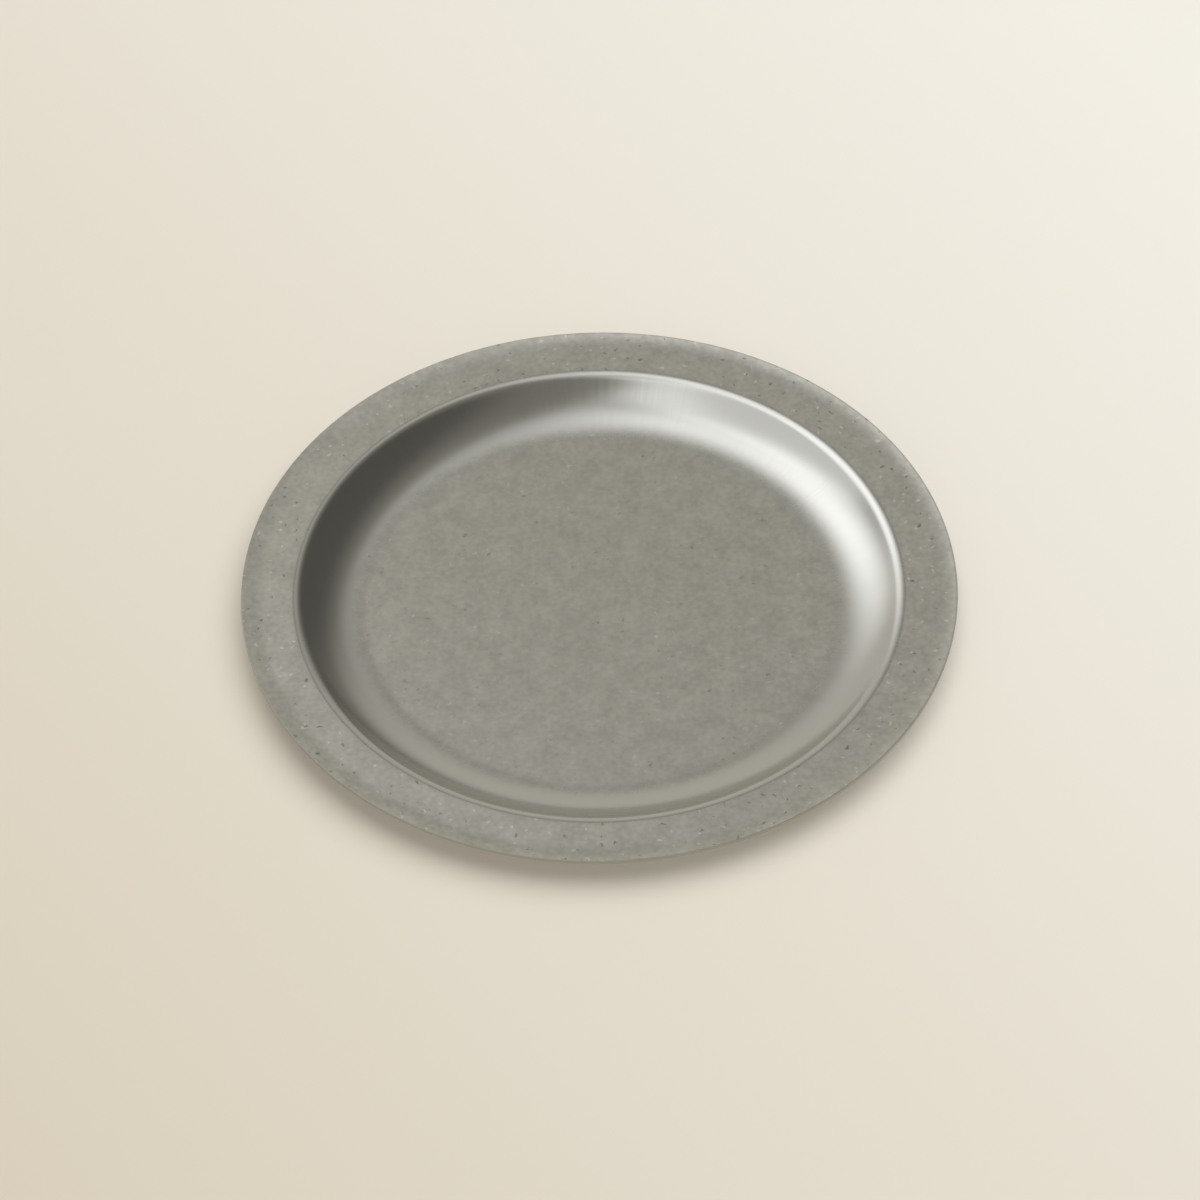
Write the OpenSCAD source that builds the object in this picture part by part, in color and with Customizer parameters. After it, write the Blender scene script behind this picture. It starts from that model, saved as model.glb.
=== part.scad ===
// Dessert plate pressed from one disc of stainless sheet.
// The sheet keeps its thickness all the way: a level floor, a wide bend up into a slanting
// wall, a tighter bend back to a level rim, and an outer band of rim that lifts to the edge.
// Millimetres, +Z up. The origin is the middle of the flat underside that the plate rests on.

/* [Plate] */
// Outside diameter
plate_d = 190; // [160:1:230]
// Thickness of the sheet
sheet_t = 0.9; // [0.6:0.1:1.2]

/* [Rim] */
// Width of the rim, from the start of the shoulder bend to the edge
rim_w = 13.6; // [10:0.1:20]
// Width of the outer band of the rim that lifts
lip_w = 5.6; // [3:0.1:8]
// Radius of the lifted band, on its upper side
lip_r = 29; // [15:1:60]

/* [Well] */
// Depth of the well, from the level rim down to the floor
well_depth = 7; // [6:0.1:12]
// Rise of the wall over its run
wall_gradient = 0.75; // [0.6:0.05:1.2]
// Length of the straight stretch of wall between its two bends
wall_l = 1.2; // [0.5:0.1:3]
// Radius of the bend from wall to rim, on its upper side
shoulder_r = 5; // [3:0.1:7]

/* [Hidden] */
$fn = 180;

wall_slope = atan(wall_gradient);

// The corner bend takes up the rise that the straight wall and the shoulder bend leave
bend_rise = (well_depth - wall_l * sin(wall_slope)) / (1 - cos(wall_slope));
corner_r = round(1000 * (bend_rise - shoulder_r)) / 1000;

// The floor ends where the bends and the wall leave off, counted in from the rim
shoulder_x = plate_d / 2 - rim_w;
floor_x = shoulder_x - (corner_r + shoulder_r) * sin(wall_slope) - wall_l * cos(wall_slope);

// Straight stretch of sheet, then what follows it
module run(length) {
    square([length, sheet_t]);
    translate([length, 0])
        children();
}

// Bend of the sheet, then what follows it: upwards about a centre over the sheet for a
// positive angle, downwards about a centre under it for a negative one
module bend(upper_r, angle) {
    side = sign(angle);
    lower_r = upper_r + side * sheet_t;
    reach = 2 * max(upper_r, lower_r);
    translate([0, side * lower_r]) {
        intersection() {
            difference() {
                circle(max(upper_r, lower_r));
                circle(min(upper_r, lower_r));
            }
            mirror([0, side > 0 ? 1 : 0])
                square(reach);
            rotate(angle)
                mirror([0, side > 0 ? 1 : 0])
                    translate([-reach, 0])
                        square(reach);
        }
        rotate(angle)
            translate([0, -side * lower_r])
                children();
    }
}

// Cut edge, worn fully round
module worn_edge() {
    translate([0, sheet_t / 2])
        intersection() {
            circle(d = sheet_t);
            translate([0, -sheet_t])
                square(2 * sheet_t);
        }
}

// The sheet from the middle of the floor out to the edge, seen in half section
module sheet_section() {
    lip_slope = asin((lip_w - sheet_t / 2) / (lip_r + sheet_t / 2));
    run(floor_x)
        bend(corner_r, wall_slope)
            run(wall_l)
                bend(shoulder_r, -wall_slope)
                    run(rim_w - lip_w)
                        bend(lip_r, lip_slope)
                            worn_edge();
}

module plate() {
    color("#949186")
        rotate_extrude()
            sheet_section();
}

plate();
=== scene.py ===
import math

import bmesh
import bpy
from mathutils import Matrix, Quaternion, Vector


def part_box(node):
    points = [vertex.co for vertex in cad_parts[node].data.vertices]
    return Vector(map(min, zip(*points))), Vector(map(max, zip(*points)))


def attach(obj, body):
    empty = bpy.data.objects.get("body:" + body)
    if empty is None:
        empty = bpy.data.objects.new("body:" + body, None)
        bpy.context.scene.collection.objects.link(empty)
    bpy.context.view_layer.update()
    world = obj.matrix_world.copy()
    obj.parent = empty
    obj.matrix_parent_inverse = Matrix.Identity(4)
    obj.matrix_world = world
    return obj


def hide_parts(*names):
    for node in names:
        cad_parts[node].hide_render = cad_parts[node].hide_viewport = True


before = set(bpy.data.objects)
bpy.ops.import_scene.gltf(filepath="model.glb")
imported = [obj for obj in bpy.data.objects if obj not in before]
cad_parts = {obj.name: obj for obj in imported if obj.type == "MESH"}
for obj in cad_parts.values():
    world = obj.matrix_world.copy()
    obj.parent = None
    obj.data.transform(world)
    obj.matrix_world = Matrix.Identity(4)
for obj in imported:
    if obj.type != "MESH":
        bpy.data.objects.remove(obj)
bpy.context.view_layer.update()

# Plate
# One disc of stainless sheet pressed in a die: level floor, wide corner bend, slanting wall, tight
# shoulder bend and a level rim whose outer band lifts. The sheet keeps its thickness all the way, its edge
# is cut square with tiny round corners, and stones tumbled round the plate until its level faces went dull.
MM = 0.001
lowest_corner, highest_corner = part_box("plate")
plate_r = (highest_corner.x - lowest_corner.x) / 2
sheet_t = 0.9 * MM
rim_w = 13.6 * MM
lip_w = 5.6 * MM
lip_r = 29 * MM
well_depth = 7 * MM
wall_gradient = 0.75
wall_slope = math.atan(wall_gradient)
wall_l = 1.2 * MM
shoulder_r = 5 * MM
edge_r = 0.06 * MM

# The corner bend takes up the rise that the straight wall and the shoulder bend leave
corner_r = (well_depth - wall_l * math.sin(wall_slope)) / (1 - math.cos(wall_slope)) - shoulder_r
shoulder_x = plate_r - rim_w
floor_x = shoulder_x - (corner_r + shoulder_r) * math.sin(wall_slope) - wall_l * math.cos(wall_slope)
# The cut edge stands square to the lifted band, so its lower corner leans out the farthest
edge_core = sheet_t / 2 - edge_r
edge_lean = edge_core * lip_w / lip_r
lip_slope = math.asin((lip_w - edge_r - edge_lean) / (lip_r + sheet_t / 2))

# Rows of points along each stretch of the sheet and round each corner of its edge, columns round the
# plate, and the distance within which points are joined where the mesh closes
floor_rows = 12
corner_rows = 34
wall_rows = 3
shoulder_rows = 24
rim_rows = 8
lip_rows = 10
edge_corner_rows = 5
columns = 384
join_distance = 0.0001 * MM

# The pressed sheet is never quite even: height of its swells and the distance between them
swell_height = 0.05 * MM
swell_size = 28 * MM
swell_seed = 4.0


def add(tree, kind, settings, links):
    """Adds a node with its settings; an input takes a value, a socket or another node's first output."""
    node = tree.nodes.new(kind)
    for name, value in settings.items():
        setattr(node, name, value)
    for name, value in links.items():
        if isinstance(value, bpy.types.Node):
            value = value.outputs[0]
        if isinstance(value, bpy.types.NodeSocket):
            tree.links.new(value, node.inputs[name])
        else:
            node.inputs[name].default_value = value
    return node


def linear(hex_colour):
    """Linear RGBA of an sRGB hex colour, by the formula of the sRGB standard."""
    channels = [int(hex_colour[i:i + 2], 16) / 255 for i in (1, 3, 5)]
    light = [c / 12.92 if c <= 0.04045 else ((c + 0.055) / 1.055) ** 2.4 for c in channels]
    return (*light, 1)


# Stonewashed stainless steel: the stones leave the level faces dull and cloudy, with bright dings, dark
# pits and short scratches, gathered in patches on the floor and all over the rim, which is a little duller.
# They hardly reach into the bends, so the wall keeps its gloss and the faint upright lines that the die
# drew in it. The cut edge is painted darker: painted shade, for the shadowed table that it mirrors.
flat_dark = linear("#ABA99F")
flat_light = linear("#C7C5BB")
wall_colour = linear("#B5B4AE")
ding_colour = linear("#DAD8D1")
pit_colour = linear("#83817A")
scratch_colour = linear("#D8D6CF")
# Painted shade: the cut edge is coloured darker to stand in for the shadowed table that it mirrors
edge_shade_colour = linear("#A3A198")
flat_roughness = 0.3
rim_roughness = 0.315
wall_roughness = 0.22
grain_roughness = 0.015
streak_roughness = 0.03

# The real grain and the real scratches are a few hundredths of a millimetre wide and the real dings and
# pits a few tenths, so all of them are drawn coarser, as far as they need to show
grain_size = 1.5 * MM
grain_detail = 0.8
grain_depth = 0.0015 * MM
cloud_size = 6 * MM
cloud_share = 0.4
mark_spacing = 3.2 * MM
mark_size = 0.75 * MM
smallest_mark = 0.5 * mark_size
mark_warp = 1.6 * MM
warp_size = 1.2 * MM
ding_share = 0.24
pit_share = 0.2
scratch_width = 0.22 * MM
# Share of a scratch's length that isn't tapered, and share of the cells that have no scratch
scratch_body = 0.6
scratch_free = 0.5
# Distance between the scratches, their length and a shift that sets the layers apart
scratch_layers = [(9 * MM, 2.6 * MM, 0), (6 * MM, 1.2 * MM, 370 * MM)]
streak_size = 0.6 * MM

# Wear of the floor between its scuffed patches and in them, the size of the patches, and the noise at which
# a patch begins and is full
floor_wear = (0.15, 0.75)
scuff_size = 13 * MM
scuff_spread = (0.45, 0.62)

# Noise stays near its middle, so these parts of its range are spread out
shade_spread = (0.25, 0.75)
rough_spread = (0.2, 0.8)

# Radii at which the wall's gloss comes in and goes out, the rim is fully dull and the painted shade of the
# cut edge sets in
gloss_start = floor_x - 1 * MM
gloss_full = floor_x + 7 * MM
gloss_last = shoulder_x - 0.7 * MM
gloss_end = shoulder_x + 0.3 * MM
rim_dull = shoulder_x + 1.5 * MM
edge_start = plate_r - 0.28 * MM
edge_full = plate_r - 0.16 * MM

# Several sockets of a mix node share a name, so those for colours are taken by their places
mix_a = 6
mix_b = 7
mix_out = 2
colours = {"data_type": "RGBA"}
numbers = {"data_type": "FLOAT"}
smooth = {"interpolation_type": "SMOOTHSTEP"}

steel = bpy.data.materials.new("stonewashed_stainless_steel")
steel.use_nodes = True
look = steel.node_tree
look.nodes.clear()
spot = add(look, "ShaderNodeTexCoord", {}, {}).outputs["Object"]
spot_parts = add(look, "ShaderNodeSeparateXYZ", {}, {0: spot}).outputs
level_spot = add(look, "ShaderNodeCombineXYZ", {}, {"X": spot_parts["X"], "Y": spot_parts["Y"]})
radius = add(look, "ShaderNodeVectorMath", {"operation": "LENGTH"}, {0: level_spot}).outputs["Value"]
spoke = add(look, "ShaderNodeVectorMath", {"operation": "NORMALIZE"}, {0: level_spot})

# Where the finishes lie: gloss on the wall, wear on the floor and the rim, and the painted shade on the cut
# edge
gloss_in = add(look, "ShaderNodeMapRange", smooth,
               {"Value": radius, "From Min": gloss_start, "From Max": gloss_full})
gloss_out = add(look, "ShaderNodeMapRange", smooth,
                {"Value": radius, "From Min": gloss_last, "From Max": gloss_end, "To Min": 1, "To Max": 0})
gloss = add(look, "ShaderNodeMath", {"operation": "MULTIPLY"}, {0: gloss_in, 1: gloss_out})
dullness = add(look, "ShaderNodeMath", {"operation": "SUBTRACT"}, {0: 1, 1: gloss})
scuffs = add(look, "ShaderNodeTexNoise", {}, {"Vector": spot, "Scale": 1 / scuff_size, "Detail": 1})
scuff = add(look, "ShaderNodeMapRange", smooth,
            {"Value": scuffs, "From Min": scuff_spread[0], "From Max": scuff_spread[1],
             "To Min": floor_wear[0], "To Max": floor_wear[1]})
wear = add(look, "ShaderNodeMapRange", {},
           {"Value": radius, "From Min": floor_x, "From Max": shoulder_x, "To Min": scuff, "To Max": 1})
edge_shade_mask = add(look, "ShaderNodeMapRange", smooth,
           {"Value": radius, "From Min": edge_start, "From Max": edge_full})

# Grain and clouds of the tumbled faces
grain = add(look, "ShaderNodeTexNoise", {},
            {"Vector": spot, "Scale": 1 / grain_size, "Detail": grain_detail})
grain_shade = add(look, "ShaderNodeMapRange", {},
                  {"Value": grain, "From Min": shade_spread[0], "From Max": shade_spread[1]})
clouds = add(look, "ShaderNodeTexNoise", {}, {"Vector": spot, "Scale": 1 / cloud_size, "Detail": 1})
cloud_shade = add(look, "ShaderNodeMapRange", {},
                  {"Value": clouds, "From Min": shade_spread[0], "From Max": shade_spread[1]})
shade = add(look, "ShaderNodeMix", numbers, {"Factor": cloud_share, "A": grain_shade, "B": cloud_shade})
colour = add(look, "ShaderNodeMix", colours,
             {"Factor": shade, mix_a: flat_dark, mix_b: flat_light}).outputs[mix_out]

# Marks of the stones, one to a cell: some are bright dings, some dark pits, and the rest only dents. Noise
# bends the cells, so that no mark is a round dot
bends = add(look, "ShaderNodeTexNoise", {}, {"Vector": level_spot, "Scale": 1 / warp_size, "Detail": 0})
bent_spot = add(look, "ShaderNodeVectorMath", {"operation": "MULTIPLY_ADD"},
                {0: bends.outputs["Color"], 1: (mark_warp, mark_warp, 0), 2: level_spot})
marks = add(look, "ShaderNodeTexVoronoi", {"voronoi_dimensions": "2D"},
            {"Vector": bent_spot, "Scale": 1 / mark_spacing})
mark_draw = add(look, "ShaderNodeSeparateColor", {}, {0: marks.outputs["Color"]}).outputs
mark_reach = add(look, "ShaderNodeMapRange", {},
                 {"Value": mark_draw["Green"], "To Min": smallest_mark / mark_spacing,
                  "To Max": mark_size / mark_spacing})
mark = add(look, "ShaderNodeMapRange", smooth,
           {"Value": marks.outputs["Distance"], "From Min": 0, "From Max": mark_reach,
            "To Min": wear, "To Max": 0})
ding_here = add(look, "ShaderNodeMath", {"operation": "GREATER_THAN"},
                {0: mark_draw["Red"], 1: 1 - ding_share})
pit_here = add(look, "ShaderNodeMath", {"operation": "LESS_THAN"}, {0: mark_draw["Red"], 1: pit_share})
ding = add(look, "ShaderNodeMath", {"operation": "MULTIPLY"}, {0: mark, 1: ding_here})
pit = add(look, "ShaderNodeMath", {"operation": "MULTIPLY"}, {0: mark, 1: pit_here})
colour = add(look, "ShaderNodeMix", colours,
             {"Factor": ding, mix_a: colour, mix_b: ding_colour}).outputs[mix_out]
colour = add(look, "ShaderNodeMix", colours,
             {"Factor": pit, mix_a: colour, mix_b: pit_colour}).outputs[mix_out]
height = add(look, "ShaderNodeMath", {"operation": "SUBTRACT"}, {0: grain_shade, 1: mark})

# Scratches: one short line in some of the cells, turned at random
for spacing, length, shift in scratch_layers:
    shifted = add(look, "ShaderNodeMapping", {}, {"Vector": level_spot, "Location": (shift, shift, 0)})
    cells = add(look, "ShaderNodeTexVoronoi", {"voronoi_dimensions": "2D"},
                {"Vector": shifted, "Scale": 1 / spacing})
    chance = add(look, "ShaderNodeSeparateColor", {}, {0: cells.outputs["Color"]}).outputs
    offset = add(look, "ShaderNodeVectorMath", {"operation": "SUBTRACT"},
                 {0: shifted, 1: cells.outputs["Position"]})
    angle = add(look, "ShaderNodeMath", {"operation": "MULTIPLY"}, {0: chance["Red"], 1: math.tau})
    turned = add(look, "ShaderNodeVectorRotate", {"rotation_type": "Z_AXIS"},
                 {"Vector": offset, "Angle": angle})
    distance = add(look, "ShaderNodeVectorMath", {"operation": "ABSOLUTE"}, {0: turned})
    from_line = add(look, "ShaderNodeSeparateXYZ", {}, {0: distance}).outputs
    within = add(look, "ShaderNodeMapRange", smooth,
                 {"Value": from_line["X"], "From Min": scratch_body * length / 2, "From Max": length / 2,
                  "To Min": 1, "To Max": 0})
    near = add(look, "ShaderNodeMapRange", smooth,
               {"Value": from_line["Y"], "From Min": 0, "From Max": scratch_width / 2,
                "To Min": 1, "To Max": 0})
    depth = add(look, "ShaderNodeMapRange", {},
                {"Value": chance["Green"], "From Min": scratch_free, "From Max": 1})
    line = add(look, "ShaderNodeMath", {"operation": "MULTIPLY"}, {0: within, 1: near})
    scratch = add(look, "ShaderNodeMath", {"operation": "MULTIPLY"}, {0: line, 1: depth})
    colour = add(look, "ShaderNodeMix", colours,
                 {"Factor": scratch, mix_a: colour, mix_b: scratch_colour}).outputs[mix_out]
    height = add(look, "ShaderNodeMath", {"operation": "SUBTRACT"}, {0: height, 1: scratch})

# Roughness: faint lines up the slope of the wall, and the grain on the level faces
around = add(look, "ShaderNodeVectorMath", {"operation": "SCALE"},
             {0: spoke, "Scale": shoulder_x / streak_size})
streaks = add(look, "ShaderNodeTexNoise", {}, {"Vector": around, "Scale": 1, "Detail": 1})
wall_rough = add(look, "ShaderNodeMapRange", {},
                 {"Value": streaks, "From Min": rough_spread[0], "From Max": rough_spread[1],
                  "To Min": wall_roughness - streak_roughness, "To Max": wall_roughness + streak_roughness})
grain_rough = add(look, "ShaderNodeMapRange", {},
                  {"Value": grain, "From Min": rough_spread[0], "From Max": rough_spread[1],
                   "To Min": grain_roughness, "To Max": -grain_roughness})
level_rough = add(look, "ShaderNodeMapRange", smooth,
                  {"Value": radius, "From Min": shoulder_x, "From Max": rim_dull,
                   "To Min": flat_roughness, "To Max": rim_roughness})
flat_rough = add(look, "ShaderNodeMath", {"operation": "ADD"}, {0: level_rough, 1: grain_rough})
roughness = add(look, "ShaderNodeMix", numbers, {"Factor": gloss, "A": flat_rough, "B": wall_rough})

# The wall takes its own colour, the cut edge a darker one as painted shade, and no dent shows on the wall
colour = add(look, "ShaderNodeMix", colours,
             {"Factor": gloss, mix_a: colour, mix_b: wall_colour}).outputs[mix_out]
colour = add(look, "ShaderNodeMix", colours,
             {"Factor": edge_shade_mask, mix_a: colour, mix_b: edge_shade_colour}).outputs[mix_out]
relief = add(look, "ShaderNodeMath", {"operation": "MULTIPLY"}, {0: height, 1: dullness})
bump = add(look, "ShaderNodeBump", {}, {"Height": relief, "Distance": grain_depth})
shader = add(look, "ShaderNodeBsdfPrincipled", {},
             {"Base Color": colour, "Metallic": 1, "Roughness": roughness, "Normal": bump})
add(look, "ShaderNodeOutputMaterial", {}, {"Surface": shader})

# The sheet's path from the middle of the floor to the edge: name of each stretch, its size, the slope
# that it turns through, 1 for an upward bend and -1 for a downward one, and its rows. Sizes are those
# of the middle of the sheet's thickness.
stretches = [
    ("Floor length", floor_x, None, 0, floor_rows),
    ("Corner radius", corner_r + sheet_t / 2, "Wall slope", 1, corner_rows),
    ("Wall length", wall_l, None, 0, wall_rows),
    ("Shoulder radius", shoulder_r - sheet_t / 2, "Wall slope", -1, shoulder_rows),
    ("Rim length", rim_w - lip_w, None, 0, rim_rows),
    ("Lip radius", lip_r + sheet_t / 2, "Lip slope", 1, lip_rows),
]
side_rows = sum(stretch[-1] for stretch in stretches)
tree_inputs = {stretch[0]: stretch[1] for stretch in stretches}
tree_inputs["Wall slope"] = wall_slope
tree_inputs["Lip slope"] = lip_slope
tree_inputs["Half thickness"] = sheet_t / 2
tree_inputs["Edge radius"] = edge_r
tree_inputs["Swell height"] = swell_height
tree_inputs["Swell size"] = swell_size
tree_inputs["Swell seed"] = swell_seed

tree = bpy.data.node_groups.new("pressed_sheet", "GeometryNodeTree")
tree.interface.new_socket("Geometry", in_out="OUTPUT", socket_type="NodeSocketGeometry")
for name in tree_inputs:
    tree.interface.new_socket(name, in_out="INPUT", socket_type="NodeSocketFloat")
tree.interface.new_socket("Steel", in_out="INPUT", socket_type="NodeSocketMaterial")
tree_inputs["Steel"] = steel
sizes = add(tree, "NodeGroupInput", {}, {}).outputs

# Columns go round the plate; rows go out along the upper side, round the edge and back underneath
edge_rows = 2 * edge_corner_rows + 1
all_rows = 2 * side_rows + edge_rows
grid = add(tree, "GeometryNodeMeshGrid", {}, {"Vertices X": columns + 1, "Vertices Y": all_rows + 1})
across = add(tree, "ShaderNodeSeparateXYZ", {}, {0: grid.outputs["UV Map"]}).outputs
way_round = add(tree, "ShaderNodeMath", {"operation": "MULTIPLY"}, {0: across["X"], 1: math.tau})
row = add(tree, "ShaderNodeMath", {"operation": "MULTIPLY"}, {0: across["Y"], 1: all_rows})
back_row = add(tree, "ShaderNodeMath", {"operation": "SUBTRACT"}, {0: all_rows, 1: row})
out_row = add(tree, "ShaderNodeMath", {"operation": "MINIMUM"}, {0: row, 1: back_row})
place = add(tree, "ShaderNodeCombineXYZ", {}, {"Z": sizes["Half thickness"]})
along = add(tree, "ShaderNodeCombineXYZ", {}, {"X": 1})
upward = add(tree, "ShaderNodeCombineXYZ", {}, {"Z": 1})
first_row = 0
for name, _, slope_name, bend_way, rows in stretches:
    reach = sizes[slope_name] if slope_name else sizes[name]
    part = add(tree, "ShaderNodeMapRange", {},
               {"Value": out_row, "From Min": first_row, "From Max": first_row + rows, "To Max": reach})
    if slope_name:
        turn = {"rotation_type": "Y_AXIS", "invert": bend_way > 0}
        new_upward = add(tree, "ShaderNodeVectorRotate", turn, {"Vector": upward, "Angle": part})
        along = add(tree, "ShaderNodeVectorRotate", turn, {"Vector": along, "Angle": part})
        before, after = (upward, new_upward) if bend_way > 0 else (new_upward, upward)
        swing = add(tree, "ShaderNodeVectorMath", {"operation": "SUBTRACT"}, {0: before, 1: after})
        step = add(tree, "ShaderNodeVectorMath", {"operation": "SCALE"}, {0: swing, "Scale": sizes[name]})
        upward = new_upward
    else:
        step = add(tree, "ShaderNodeVectorMath", {"operation": "SCALE"}, {0: along, "Scale": part})
    place = add(tree, "ShaderNodeVectorMath", {"operation": "ADD"}, {0: place, 1: step})
    first_row += rows

# The edge is cut square and its two corners are rounded: a small core, level with the middle of each
# corner, crosses from the upper to the lower side, and the skin lies at the corner's radius round it
cut_row = side_rows + edge_corner_rows
quarter_turn = math.pi / 2
upper_turn = add(tree, "ShaderNodeMapRange", {},
                 {"Value": row, "From Min": side_rows, "From Max": cut_row, "To Max": quarter_turn})
lower_turn = add(tree, "ShaderNodeMapRange", {},
                 {"Value": row, "From Min": cut_row + 1, "From Max": side_rows + edge_rows,
                  "To Max": quarter_turn})
edge_turn = add(tree, "ShaderNodeMath", {"operation": "ADD"}, {0: upper_turn, 1: lower_turn})
outward = add(tree, "ShaderNodeVectorRotate", {"rotation_type": "Y_AXIS"},
              {"Vector": upward, "Angle": edge_turn})
core_top = add(tree, "ShaderNodeMath", {"operation": "SUBTRACT"},
               {0: sizes["Half thickness"], 1: sizes["Edge radius"]})
core_bottom = add(tree, "ShaderNodeMath", {"operation": "SUBTRACT"},
                  {0: sizes["Edge radius"], 1: sizes["Half thickness"]})
core_height = add(tree, "ShaderNodeMapRange", {},
                  {"Value": row, "From Min": cut_row, "From Max": cut_row + 1,
                   "To Min": core_top, "To Max": core_bottom})
core = add(tree, "ShaderNodeVectorMath", {"operation": "SCALE"}, {0: upward, "Scale": core_height})
skin = add(tree, "ShaderNodeVectorMath", {"operation": "SCALE"},
           {0: outward, "Scale": sizes["Edge radius"]})
core_place = add(tree, "ShaderNodeVectorMath", {"operation": "ADD"}, {0: place, 1: core})
section = add(tree, "ShaderNodeVectorMath", {"operation": "ADD"}, {0: core_place, 1: skin})
spun = add(tree, "ShaderNodeVectorRotate", {"rotation_type": "Z_AXIS"},
           {"Vector": section, "Angle": way_round})

# Swells lift both sides of the sheet alike, so they depend on where it is seen from above
noise_mean = 0.5
spun_parts = add(tree, "ShaderNodeSeparateXYZ", {}, {0: spun}).outputs
seen_above = add(tree, "ShaderNodeCombineXYZ", {}, {"X": spun_parts["X"], "Y": spun_parts["Y"]})
in_swells = add(tree, "ShaderNodeVectorMath", {"operation": "DIVIDE"},
                {0: seen_above, 1: sizes["Swell size"]})
swells = add(tree, "ShaderNodeTexNoise", {"noise_dimensions": "4D"},
             {"Vector": in_swells, "W": sizes["Swell seed"], "Scale": 1, "Detail": 0})
above_mean = add(tree, "ShaderNodeMath", {"operation": "SUBTRACT"}, {0: swells, 1: noise_mean})
swell = add(tree, "ShaderNodeMath", {"operation": "MULTIPLY"}, {0: above_mean, 1: sizes["Swell height"]})
lift = add(tree, "ShaderNodeCombineXYZ", {}, {"Z": swell})
sheet = add(tree, "GeometryNodeSetPosition", {},
            {"Geometry": grid.outputs["Mesh"], "Position": spun, "Offset": lift})
closed = add(tree, "GeometryNodeMergeByDistance", {}, {"Geometry": sheet, "Distance": join_distance})
realized = add(tree, "GeometryNodeRealizeInstances", {}, {"Geometry": closed})
finished = add(tree, "GeometryNodeSetMaterial", {}, {"Geometry": realized, "Material": sizes["Steel"]})
add(tree, "NodeGroupOutput", {}, {"Geometry": finished})

plate = bpy.data.objects.new("pressed_plate", bpy.data.meshes.new("pressed_plate"))
bpy.context.scene.collection.objects.link(plate)
press = plate.modifiers.new("pressed_sheet", "NODES")
press.node_group = tree
for socket in tree.interface.items_tree:
    if socket.in_out == "INPUT":
        press[socket.identifier] = tree_inputs[socket.name]
depsgraph = bpy.context.evaluated_depsgraph_get()
plate.data = bpy.data.meshes.new_from_object(plate.evaluated_get(depsgraph), depsgraph=depsgraph)
plate.modifiers.remove(press)
# The grid brings an empty material slot of its own, before the steel's
plate.data.materials.pop(index=0)
form = bmesh.new()
form.from_mesh(plate.data)
bmesh.ops.recalc_face_normals(form, faces=form.faces)
for face in form.faces:
    face.smooth = True
form.to_mesh(plate.data)
form.free()
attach(plate, "root")
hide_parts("plate")

# Table
# A wide table top under pale cream paper, flat and dull, with painted light: lighter towards the far right.
# It is not part of the plate, which rests on it: it lies at the depth of the lowest swell there can be.
table_half = 30
table_z = -swell_height / 2
# Painted light: the paper is coloured darker near and lighter far, as light falling across the table would
# leave it
painted_shade_cream = linear("#D8CEBC")
painted_light_cream = linear("#F3F0E8")
# The way in which the painted light on the paper grows, and the distances along it where that starts and
# ends
cream_way = (0.83, 0.56, 0)
cream_near_end = -0.25
cream_far_end = 0.25
paper_roughness = 0.9
paper_specular = 0.2
glow_share = 0.24
table = bpy.data.objects.new("table", bpy.data.meshes.new("table"))
corners = [(-table_half, -table_half, table_z), (table_half, -table_half, table_z),
           (table_half, table_half, table_z), (-table_half, table_half, table_z)]
table.data.from_pydata(corners, [], [(0, 1, 2, 3)])
bpy.context.scene.collection.objects.link(table)

# Uncoated paper: without shine, painted lighter towards the far right as painted light. Where it is seen,
# in the metal too, a share of it is its own plain colour, so that it stays pale and the plate's shadow on
# it light
paper = bpy.data.materials.new("uncoated_cream_paper")
paper.use_nodes = True
paper_look = paper.node_tree
paper_look.nodes.clear()
paper_spot = add(paper_look, "ShaderNodeTexCoord", {}, {}).outputs["Object"]
far_way = add(paper_look, "ShaderNodeVectorMath", {"operation": "DOT_PRODUCT"},
              {0: paper_spot, 1: cream_way}).outputs["Value"]
painted_light_share = add(paper_look, "ShaderNodeMapRange", {},
                {"Value": far_way, "From Min": cream_near_end, "From Max": cream_far_end})
cream = add(paper_look, "ShaderNodeMix", colours,
            {"Factor": painted_light_share, mix_a: painted_shade_cream, mix_b: painted_light_cream}).outputs[mix_out]
paper_shader = add(paper_look, "ShaderNodeBsdfPrincipled", {},
                   {"Base Color": cream, "Roughness": paper_roughness,
                    "Specular IOR Level": paper_specular})
paper_glow = add(paper_look, "ShaderNodeEmission", {}, {"Color": cream, "Strength": 1})
ray = add(paper_look, "ShaderNodeLightPath", {}, {}).outputs
seen_clear = add(paper_look, "ShaderNodeMath", {"operation": "MAXIMUM"},
                 {0: ray["Is Camera Ray"], 1: ray["Is Transmission Ray"]})
seen = add(paper_look, "ShaderNodeMath", {"operation": "MAXIMUM"},
           {0: seen_clear, 1: ray["Is Glossy Ray"]})
glow_part = add(paper_look, "ShaderNodeMath", {"operation": "MULTIPLY"}, {0: seen, 1: glow_share})
paper_light = add(paper_look, "ShaderNodeMixShader", {},
                  {"Fac": glow_part, 1: paper_shader, 2: paper_glow})
add(paper_look, "ShaderNodeOutputMaterial", {}, {"Surface": paper_light})
table.data.materials.append(paper)

# Studio light
# Grey walls, dim on the right and bright in front. A soft box, three panels and a faint fill stand behind,
# on the left and overhead: they fade to their edges and are there for the metal to mirror. A broad light
# from high up is there for the table, and the metal doesn't mirror it.

# Ways are degrees round from the right-hand side and degrees up. A spread gives the cosines of the angles
# from a way at which the wall starts to take its tone and has all of it
wall_grey = linear("#94928B")
dim_grey = linear("#686763")
dim_way = (-4, 3)
dim_spread = (0.33, 0.59)
front_grey = linear("#CDCAC2")
front_way = (270, -10)
front_spread = (0.4, 0.65)
cool_white = linear("#F8FAFF")
warm_white = linear("#FFFDF6")
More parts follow.
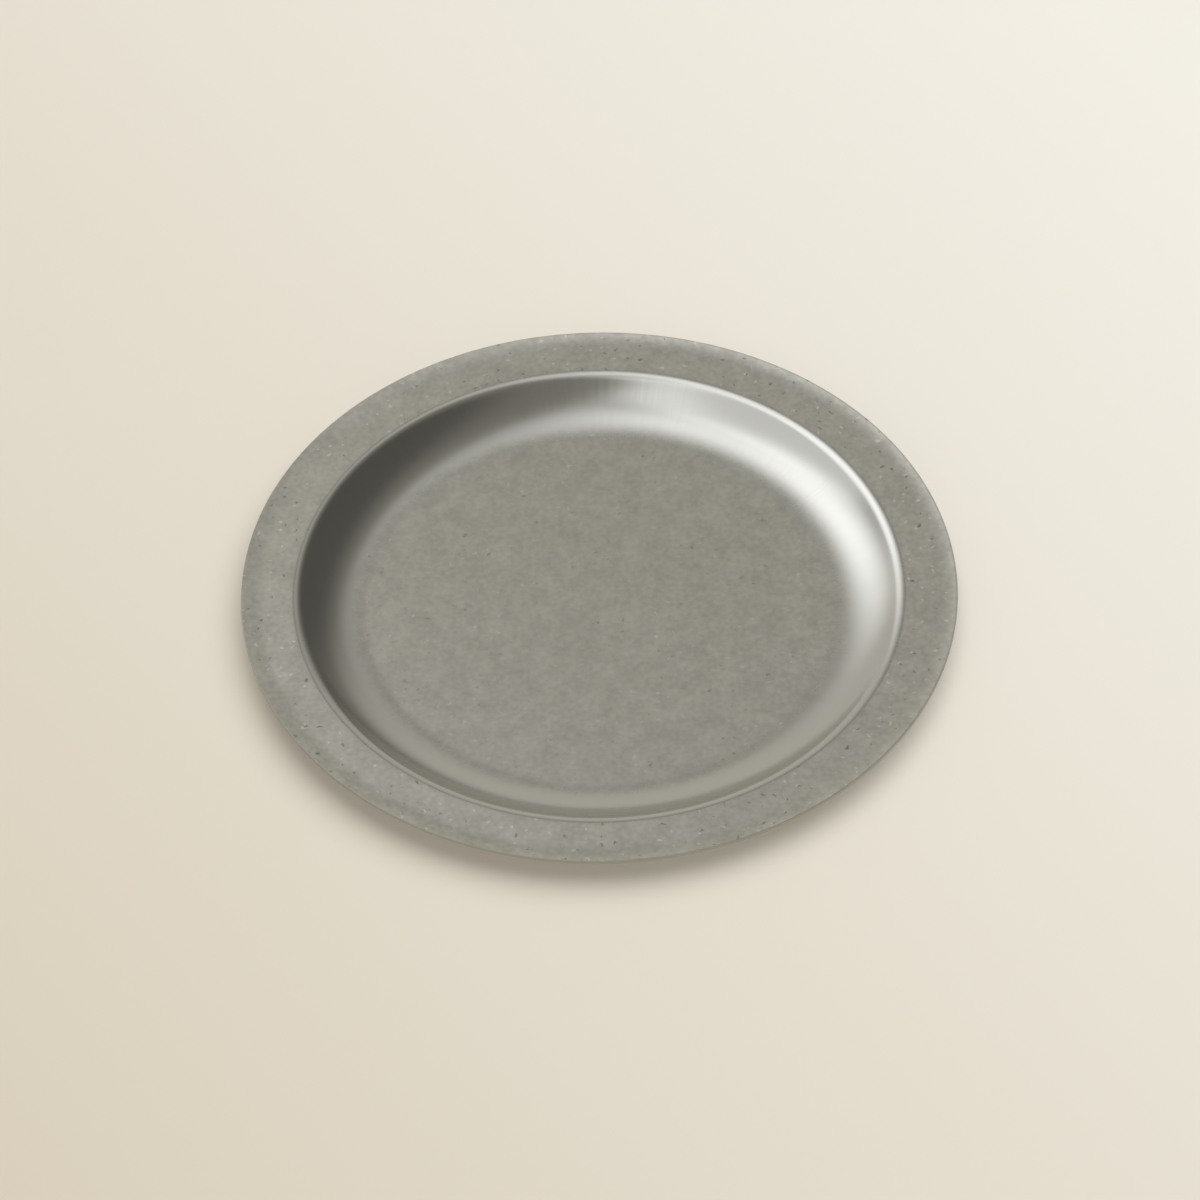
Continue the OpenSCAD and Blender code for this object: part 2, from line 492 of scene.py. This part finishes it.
# Rolls are degrees, distances and sizes metres. A light fades from a share of its half size outwards, and
# its brightness comes on top of the wall behind it
soft_lights = {
    "main_soft_box": {"colour": cool_white, "way": (134, 50), "roll": 6, "distance": 1.8,
                      "width": 1.7, "height": 3.5, "fade_start": 0.05, "brightness": 2.05},
    "left_panel": {"colour": cool_white, "way": (200, 37), "roll": -6, "distance": 2.2,
                   "width": 3.3, "height": 4.7, "fade_start": 0.85, "brightness": 0.85},
    "top_panel": {"colour": cool_white, "way": (152, 84), "roll": 4, "distance": 2.2,
                  "width": 4.9, "height": 1.1, "fade_start": 0.45, "brightness": 0.5},
    "low_panel": {"colour": warm_white, "way": (111, 8.5), "roll": -30, "distance": 1.1,
                  "width": 3.0, "height": 1.3, "fade_start": 0.45, "brightness": 0.46},
    "fill_panel": {"colour": cool_white, "way": (75, 42), "roll": 0, "distance": 2.0,
                   "width": 0.9, "height": 0.9, "fade_start": 0.3, "brightness": 0.25},
}
face_middle = (0.5, 0.5, 0)
face_half = 0.5
table_light_way = (48, 70)
table_light_strength = 2.33
table_light_angle = 76


def way(azimuth, rise):
    """Direction from the plate, by degrees round from the right-hand side and degrees up."""
    turned, raised = math.radians(azimuth), math.radians(rise)
    level = math.cos(raised)
    return Vector((math.cos(turned) * level, math.sin(turned) * level, math.sin(raised)))


world = bpy.data.worlds.new("studio")
bpy.context.scene.world = world
world.use_nodes = True
room = world.node_tree
room.nodes.clear()
outlook = add(room, "ShaderNodeTexCoord", {}, {}).outputs["Generated"]
towards_dim = add(room, "ShaderNodeVectorMath", {"operation": "DOT_PRODUCT"},
                  {0: outlook, 1: way(*dim_way)}).outputs["Value"]
dim_share = add(room, "ShaderNodeMapRange", smooth,
                {"Value": towards_dim, "From Min": dim_spread[0], "From Max": dim_spread[1]})
towards_front = add(room, "ShaderNodeVectorMath", {"operation": "DOT_PRODUCT"},
                    {0: outlook, 1: way(*front_way)}).outputs["Value"]
front_share = add(room, "ShaderNodeMapRange", smooth,
                  {"Value": towards_front, "From Min": front_spread[0], "From Max": front_spread[1]})
back_light = add(room, "ShaderNodeMix", colours,
                 {"Factor": dim_share, mix_a: wall_grey, mix_b: dim_grey}).outputs[mix_out]
room_light = add(room, "ShaderNodeMix", colours,
                 {"Factor": front_share, mix_a: back_light, mix_b: front_grey}).outputs[mix_out]
background = add(room, "ShaderNodeBackground", {}, {"Color": room_light, "Strength": 1})
add(room, "ShaderNodeOutputWorld", {}, {"Surface": background})

for light_name, light in soft_lights.items():
    lamp = bpy.data.lights.new(light_name, "AREA")
    lamp.shape = "RECTANGLE"
    lamp.size = light["width"]
    lamp.size_y = light["height"]
    lamp.energy = light["brightness"] * math.pi * light["width"] * light["height"]
    lamp.use_nodes = True
    glow = lamp.node_tree
    glow.nodes.clear()
    face_spot = add(glow, "ShaderNodeTexCoord", {}, {}).outputs["UV"]
    from_middle = add(glow, "ShaderNodeVectorMath", {"operation": "DISTANCE"},
                      {0: face_spot, 1: face_middle}).outputs["Value"]
    fade = add(glow, "ShaderNodeMapRange", smooth,
               {"Value": from_middle, "From Min": light["fade_start"] * face_half, "From Max": face_half,
                "To Min": 1, "To Max": 0})
    emission = add(glow, "ShaderNodeEmission", {}, {"Color": light["colour"], "Strength": fade})
    add(glow, "ShaderNodeOutputLight", {}, {"Surface": emission})
    soft_light = bpy.data.objects.new(light_name, lamp)
    bpy.context.scene.collection.objects.link(soft_light)
    soft_light.visible_diffuse = False
    light_way = way(*light["way"])
    soft_light.location = light_way * light["distance"]
    facing = (-light_way).to_track_quat("-Z", "Y")
    soft_light.rotation_euler = (facing @ Quaternion((0, 0, 1), math.radians(light["roll"]))).to_euler()

sun = bpy.data.lights.new("table_light", "SUN")
sun.energy = table_light_strength
sun.angle = math.radians(table_light_angle)
table_light = bpy.data.objects.new("table_light", sun)
bpy.context.scene.collection.objects.link(table_light)
table_light.rotation_euler = (-way(*table_light_way)).to_track_quat("-Z", "Y").to_euler()
table_light.visible_glossy = False

# Camera
# Looks down at the plate from the front with a long lens, rolled a little, as in the photograph.
# It stands many radii of the plate away, and the lens gives the plate its width in the picture.
image_px = 1200
half_plate_px = 358.89
camera_rise = math.radians(47.62)
camera_roll = math.radians(1.12)
camera_radii = 25
camera_distance = camera_radii * plate_r
sensor_w = 36
view_end = 100
aim = Vector((0.16 * MM, -3.3 * MM, 8 * MM))
backward = Vector((0, -math.cos(camera_rise), math.sin(camera_rise)))
camera_data = bpy.data.cameras.new("camera")
camera_data.sensor_width = sensor_w
camera_data.lens = sensor_w * camera_distance * half_plate_px / (plate_r * image_px)
camera_data.clip_end = view_end
camera = bpy.data.objects.new("camera", camera_data)
bpy.context.scene.collection.objects.link(camera)
camera.location = aim + backward * camera_distance
camera.rotation_mode = "QUATERNION"
camera.rotation_quaternion = Quaternion(-backward, camera_roll) @ (-backward).to_track_quat("-Z", "Y")
bpy.context.scene.camera = camera
bpy.context.scene.view_settings.view_transform = "Standard"
